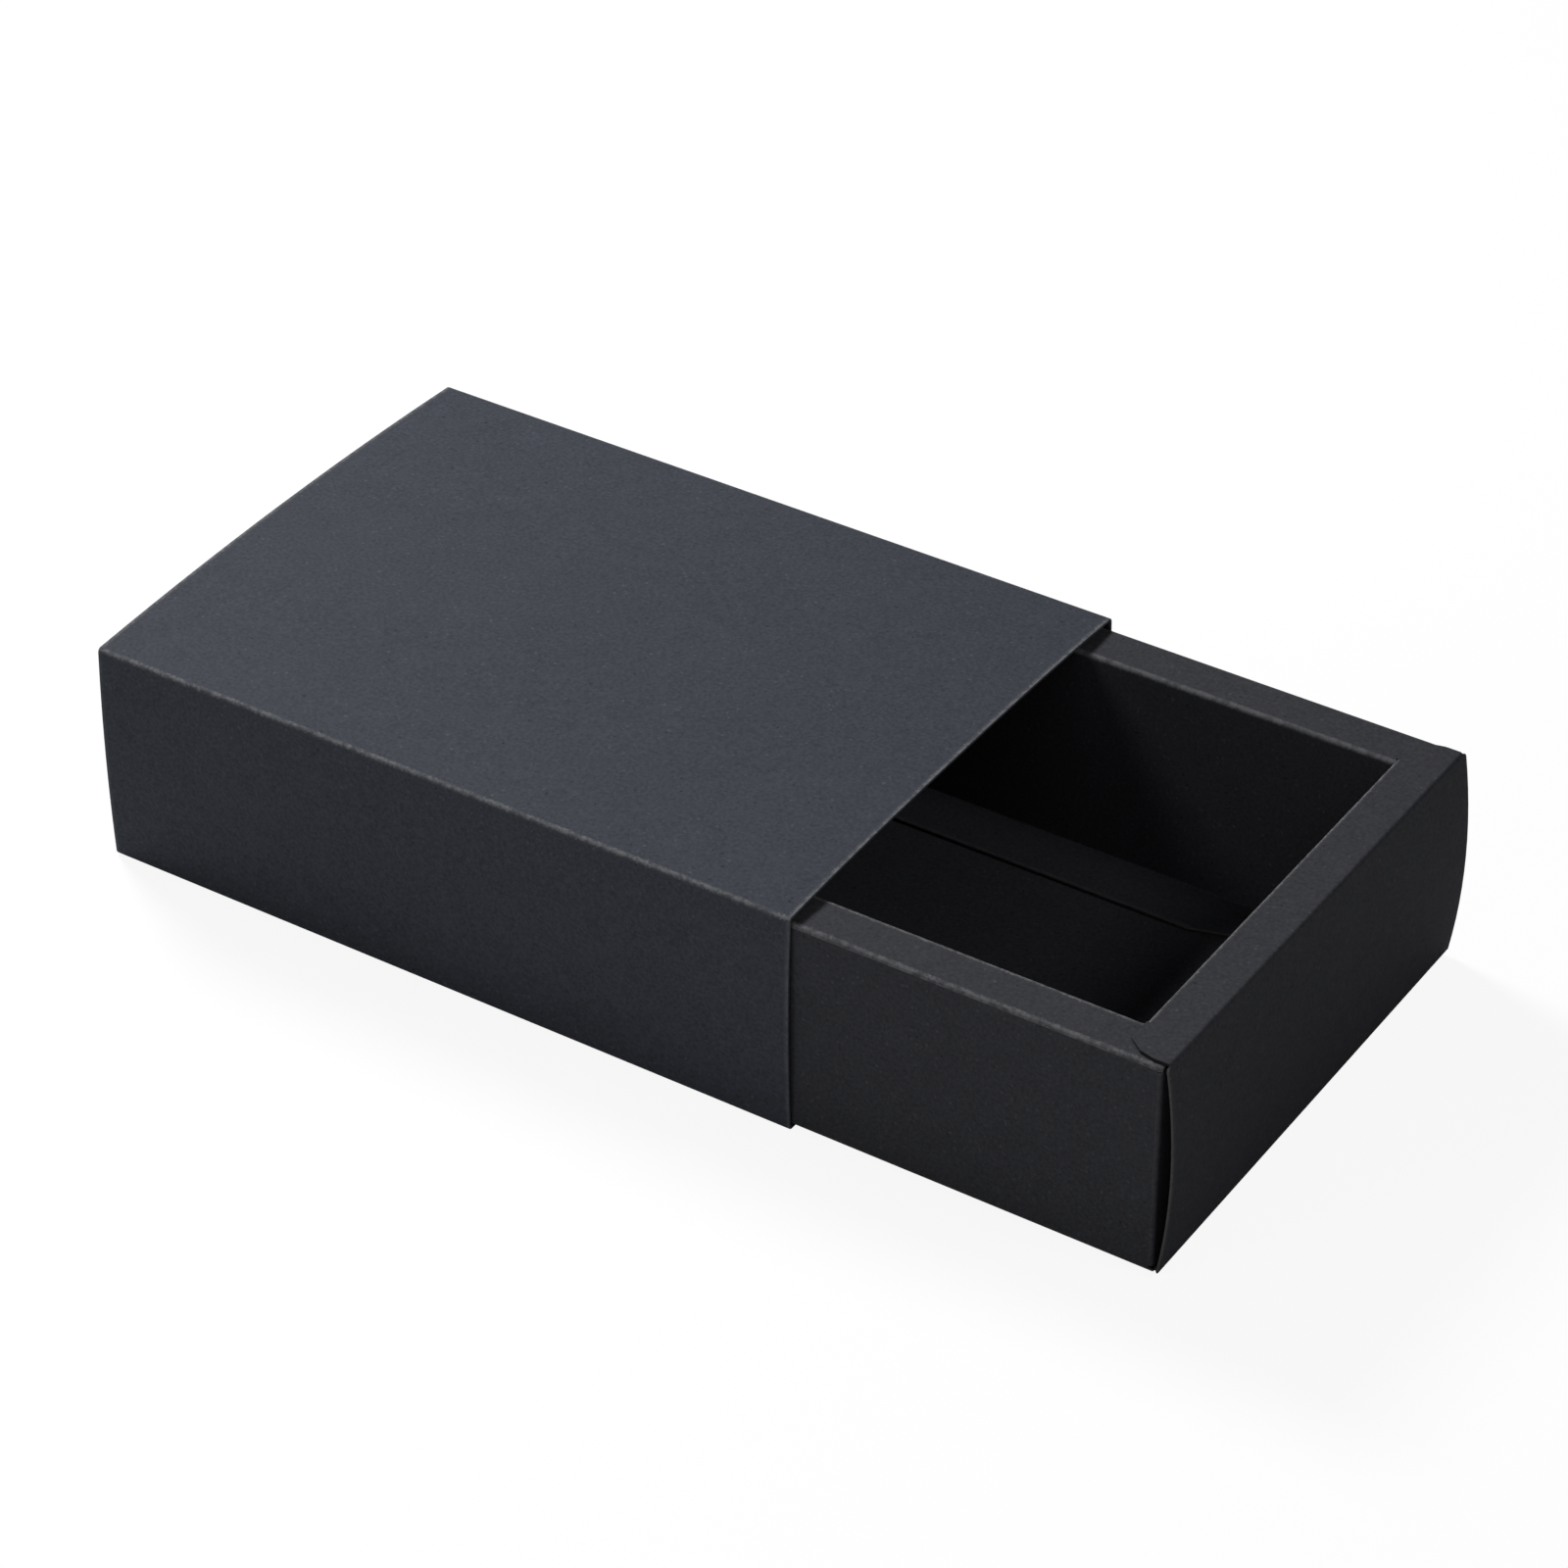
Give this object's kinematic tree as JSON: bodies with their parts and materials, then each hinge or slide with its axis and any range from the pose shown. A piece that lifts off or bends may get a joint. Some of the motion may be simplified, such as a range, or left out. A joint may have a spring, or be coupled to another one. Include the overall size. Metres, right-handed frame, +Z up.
{
  "type": "sliding drawer gift box",
  "caption": "Drawer gift box of folded card: an open-ended sleeve, and a hollow-walled tray with rounded rim tongues that slides out of it.",
  "frame": {"origin": "centre of the sleeve's underside, on the surface that the box rests on", "axes": "+X the way the tray pulls out of the sleeve, +Z up, so the pictured near side faces -Y"},
  "size_m": [0.4128, 0.2022, 0.0881],
  "materials": {
    "sleeve_card": "matt",
    "tray_card": "matt"
  },
  "bodies": {
    "sleeve": {"sleeve_bottom_panel": "sleeve_card", "sleeve_near_side_panel": "sleeve_card", "sleeve_top_panel": "sleeve_card", "sleeve_far_side_panel": "sleeve_card", "sleeve_glue_flap": "sleeve_card"},
    "tray": {"tray_floor": "tray_card", "tray_near_outer_wall": "tray_card", "tray_near_rim": "tray_card", "tray_near_inner_wall": "tray_card", "tray_near_floor_flap": "tray_card", "tray_far_outer_wall": "tray_card", "tray_far_rim": "tray_card", "tray_far_inner_wall": "tray_card", "tray_far_floor_flap": "tray_card", "tray_front_outer_wall": "tray_card", "tray_front_rim": "tray_card", "tray_front_inner_wall": "tray_card", "tray_front_floor_flap": "tray_card", "tray_back_outer_wall": "tray_card", "tray_back_rim": "tray_card", "tray_back_inner_wall": "tray_card", "tray_back_floor_flap": "tray_card", "near_front_dust_flap": "tray_card", "near_back_dust_flap": "tray_card", "far_front_dust_flap": "tray_card", "far_back_dust_flap": "tray_card"}
  },
  "joints": [
    {"name": "drawer_slide", "type": "slide", "parent": "sleeve", "child": "tray", "axis": [1, 0, 0], "range_m": [-0.136, 0.136]}
  ]
}
